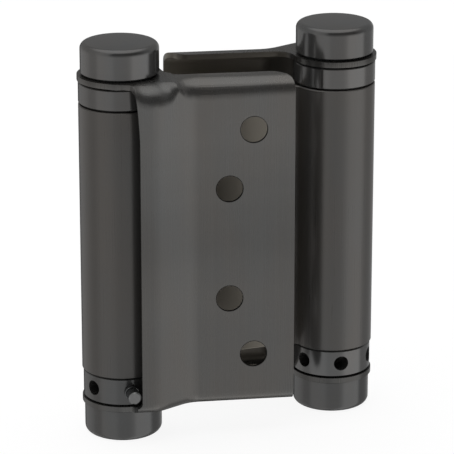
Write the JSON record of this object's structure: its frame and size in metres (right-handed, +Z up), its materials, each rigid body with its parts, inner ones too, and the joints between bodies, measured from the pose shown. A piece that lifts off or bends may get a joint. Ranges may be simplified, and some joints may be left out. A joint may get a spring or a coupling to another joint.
{
  "type": "swing door hinge",
  "caption": "Double-action spring hinge in dark brushed steel: cranked leaves on capped barrels joined by a centre plate, with tension collars and pins.",
  "frame": {"origin": "midway between the two barrels, on the plane of the flat ends of the bottom caps", "axes": "+Z up along the barrels, -Y square out of the front leaf, +X from the front barrel's side to the rear barrel's side"},
  "size_m": [0.0686, 0.0372, 0.091],
  "materials": {
    "leaf_metal": "dark bronze-black plated, brushed satin",
    "barrel_metal": "dark plated, brushed satin",
    "cap_metal": "dark plated, turned satin",
    "collar_metal": "dark plated, turned, glossier than the barrel",
    "washer_metal": "black, dull",
    "pin_steel": "dark plated, satin",
    "spindle_steel": "plain ground steel",
    "spring_steel": "plain drawn spring wire"
  },
  "bodies": {
    "centre": {"centre_plate": "barrel_metal", "front_upper_collar": "collar_metal", "rear_upper_collar": "collar_metal", "front_bearing_washer": "washer_metal", "rear_bearing_washer": "washer_metal", "front_spring": "spring_steel", "rear_spring": "spring_steel"},
    "front_leaf": {"front_leaf": "leaf_metal", "front_spindle": "spindle_steel", "front_top_cap": "cap_metal", "front_bottom_cap": "cap_metal", "front_cap_washer": "washer_metal", "front_lower_washer": "washer_metal"},
    "front_tension_collar": {"front_tension_collar": "collar_metal"},
    "front_tension_pin": {"front_tension_pin": "pin_steel"},
    "rear_leaf": {"rear_leaf": "leaf_metal", "rear_spindle": "spindle_steel", "rear_top_cap": "cap_metal", "rear_bottom_cap": "cap_metal", "rear_cap_washer": "washer_metal", "rear_lower_washer": "washer_metal"},
    "rear_tension_collar": {"rear_tension_collar": "collar_metal"},
    "rear_tension_pin": {"rear_tension_pin": "pin_steel"}
  },
  "joints": [
    {"name": "front_leaf_swing", "type": "hinge", "parent": "centre", "child": "front_leaf", "pos_m": [-0.02483, -0.00537, 0.0455], "axis": [0, 0, -1], "range_deg": [0, 120], "stiffness_Nm_per_rad": 0.25, "springref_deg": -45.84},
    {"name": "front_tension_turn", "type": "hinge", "parent": "front_leaf", "child": "front_tension_collar", "pos_m": [-0.02483, -0.00537, 0.012], "axis": [0, 0, -1], "range_deg": [0, 60], "stiffness_Nm_per_rad": 0.1, "springref_deg": -45.84},
    {"name": "front_pin_pull", "type": "slide", "parent": "front_tension_collar", "child": "front_tension_pin", "axis": [0.0941, -0.9956, 0], "range_m": [0, 0.01]},
    {"name": "rear_leaf_swing", "type": "hinge", "parent": "centre", "child": "rear_leaf", "pos_m": [0.02483, 0.00537, 0.0455], "axis": [0, 0, -1], "range_deg": [0, 120], "stiffness_Nm_per_rad": 0.25, "springref_deg": -45.84},
    {"name": "rear_tension_turn", "type": "hinge", "parent": "rear_leaf", "child": "rear_tension_collar", "pos_m": [0.02483, 0.00537, 0.012], "axis": [0, 0, -1], "range_deg": [0, 60], "stiffness_Nm_per_rad": 0.1, "springref_deg": -45.84},
    {"name": "rear_pin_pull", "type": "slide", "parent": "rear_tension_collar", "child": "rear_tension_pin", "axis": [-0.0941, 0.9956, 0], "range_m": [0, 0.01]}
  ]
}
